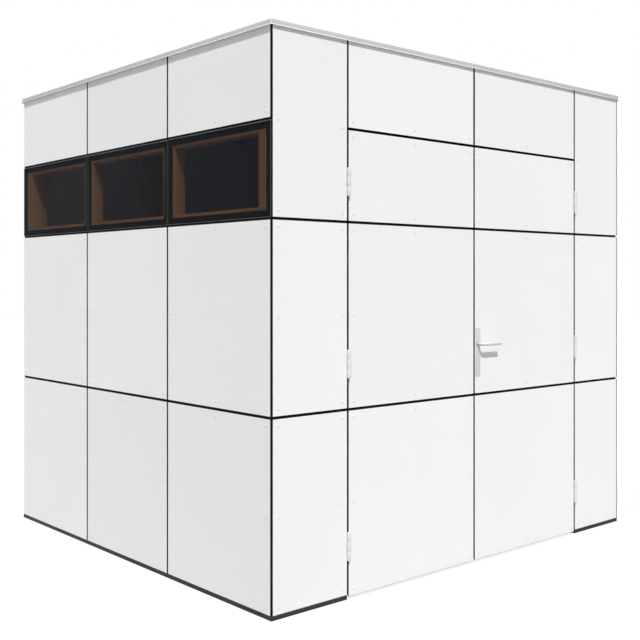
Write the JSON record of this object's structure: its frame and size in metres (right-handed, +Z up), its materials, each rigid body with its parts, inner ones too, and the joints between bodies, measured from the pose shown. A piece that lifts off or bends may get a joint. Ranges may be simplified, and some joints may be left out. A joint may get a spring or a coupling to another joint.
{
  "type": "cube garden shed",
  "caption": "Flat-roofed cube garden shed with white laminate cladding, an outward-opening double door with a lever handle, and a band of tinted panes along one side.",
  "frame": {"origin": "on the ground at the centre of the plan, on the underside of the middle floor bearer", "axes": "+X to the right along the front wall seen from outside, +Y from the front wall to the back wall, +Z up; the doors face -Y and the panes face -X"},
  "size_m": [2.524, 2.567, 2.504],
  "materials": {
    "base_strip": "dark plastic packing strip",
    "timber": "planed softwood",
    "board": "softwood boards",
    "membrane": "matt roofing membrane",
    "trim": "mill finish folded sheet",
    "panel": "white high-pressure laminate, satin",
    "pane": "dark tinted, glossy",
    "tape": "matt black",
    "hinge": "white powder coat",
    "handle": "satin anodised"
  },
  "bodies": {
    "shed": {"front_back_base_strips": "base_strip", "side_base_strips": "base_strip", "corner_posts": "timber", "wall_posts": "timber", "bottom_rails": "timber", "wall_rails": "timber", "top_rails": "timber", "jamb_stops": "timber", "head_stop": "timber", "threshold": "timber", "floor_bearers": "timber", "floor_deck": "board", "roof_joists": "timber", "roof_deck": "board", "roof_membrane": "membrane", "front_trim": "trim", "back_trim": "trim", "left_trim": "trim", "right_trim": "trim", "front_panels": "panel", "back_panels": "panel", "left_panels": "panel", "right_panels": "panel", "window_panes": "pane", "post_tape": "tape", "rail_tape": "tape", "hinge_brackets": "hinge"},
    "left_door": {"left_door_panels": "panel", "left_door_stiles": "timber", "left_door_rails": "timber", "left_door_tape": "tape", "left_door_hinges": "hinge"},
    "right_door": {"right_door_panels": "panel", "right_door_stiles": "timber", "right_door_rails": "timber", "right_door_tape": "tape", "right_door_hinges": "hinge", "outer_plate": "handle", "inner_plate": "handle"},
    "lever": {"outer_lever": "handle", "inner_lever": "handle"}
  },
  "joints": [
    {"name": "left_door_swing", "type": "hinge", "parent": "shed", "child": "left_door", "pos_m": [-0.833, -1.2595, 1.05], "axis": [0, 0, -1], "range_deg": [0, 170]},
    {"name": "right_door_swing", "type": "hinge", "parent": "shed", "child": "right_door", "pos_m": [0.833, -1.2595, 1.05], "axis": [0, 0, 1], "range_deg": [0, 170]},
    {"name": "lever_turn", "type": "hinge", "parent": "right_door", "child": "lever", "pos_m": [0.027, -1.25, 1.098], "axis": [0, 1, 0], "range_deg": [0, 40], "stiffness_Nm_per_rad": 2, "springref_deg": -22.92}
  ]
}
